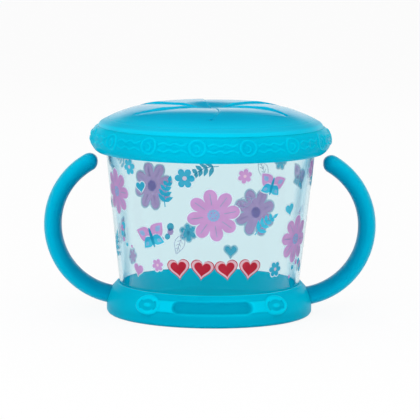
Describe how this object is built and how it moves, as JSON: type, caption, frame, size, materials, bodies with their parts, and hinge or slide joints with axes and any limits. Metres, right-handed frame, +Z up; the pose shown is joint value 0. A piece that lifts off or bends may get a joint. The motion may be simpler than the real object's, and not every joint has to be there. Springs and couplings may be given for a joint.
{
  "type": "toddler snack container",
  "caption": "Two-handled toddler snack cup: a clear tapered cup in a teal handled base, closed by a push-on lid whose domed soft top is slit into flaps for a small hand to reach through",
  "frame": {"origin": "on the table under the middle of the base, at the bottom centre of the bounding box", "axes": "+Z up, +X through the right handle with the handles along X, -Y is the front that faces the viewer"},
  "size_m": [0.1464, 0.106, 0.0926],
  "materials": {
    "clear_cup": "clear, slightly frosted polypropylene",
    "teal_base": "glossy translucent teal polypropylene",
    "teal_handles": "glossy translucent teal polypropylene, a shade deeper than the base",
    "teal_lid": "satin translucent teal polypropylene",
    "soft_teal": "soft satin teal elastomer, slightly translucent"
  },
  "bodies": {
    "container": {"cup": "clear_cup", "base": "teal_base", "handle_left": "teal_handles", "handle_right": "teal_handles"},
    "lid": {"lid_ring": "teal_lid", "soft_top": "soft_teal"},
    "flap_1": {"flap_1": "soft_teal"},
    "flap_2": {"flap_2": "soft_teal"},
    "flap_3": {"flap_3": "soft_teal"},
    "flap_4": {"flap_4": "soft_teal"},
    "flap_5": {"flap_5": "soft_teal"},
    "flap_6": {"flap_6": "soft_teal"}
  },
  "joints": [
    {"name": "lid_lift", "type": "slide", "parent": "container", "child": "lid", "axis": [0, 0, 1], "range_m": [0, 0.04]},
    {"name": "flap_1_bend", "type": "hinge", "parent": "lid", "child": "flap_1", "pos_m": [0.01645, -0.0285, 0.0897], "axis": [-0.866, -0.5, 0], "range_deg": [-35, 70], "stiffness_Nm_per_rad": 0.012},
    {"name": "flap_2_bend", "type": "hinge", "parent": "lid", "child": "flap_2", "pos_m": [0.03291, 0, 0.0897], "axis": [0, -1, 0], "range_deg": [-35, 70], "stiffness_Nm_per_rad": 0.012},
    {"name": "flap_3_bend", "type": "hinge", "parent": "lid", "child": "flap_3", "pos_m": [0.01645, 0.0285, 0.0897], "axis": [0.866, -0.5, 0], "range_deg": [-35, 70], "stiffness_Nm_per_rad": 0.012},
    {"name": "flap_4_bend", "type": "hinge", "parent": "lid", "child": "flap_4", "pos_m": [-0.01645, 0.0285, 0.0897], "axis": [0.866, 0.5, 0], "range_deg": [-35, 70], "stiffness_Nm_per_rad": 0.012},
    {"name": "flap_5_bend", "type": "hinge", "parent": "lid", "child": "flap_5", "pos_m": [-0.03291, 0, 0.0897], "axis": [0, 1, 0], "range_deg": [-35, 70], "stiffness_Nm_per_rad": 0.012},
    {"name": "flap_6_bend", "type": "hinge", "parent": "lid", "child": "flap_6", "pos_m": [-0.01645, -0.0285, 0.0897], "axis": [-0.866, 0.5, 0], "range_deg": [-35, 70], "stiffness_Nm_per_rad": 0.012}
  ]
}
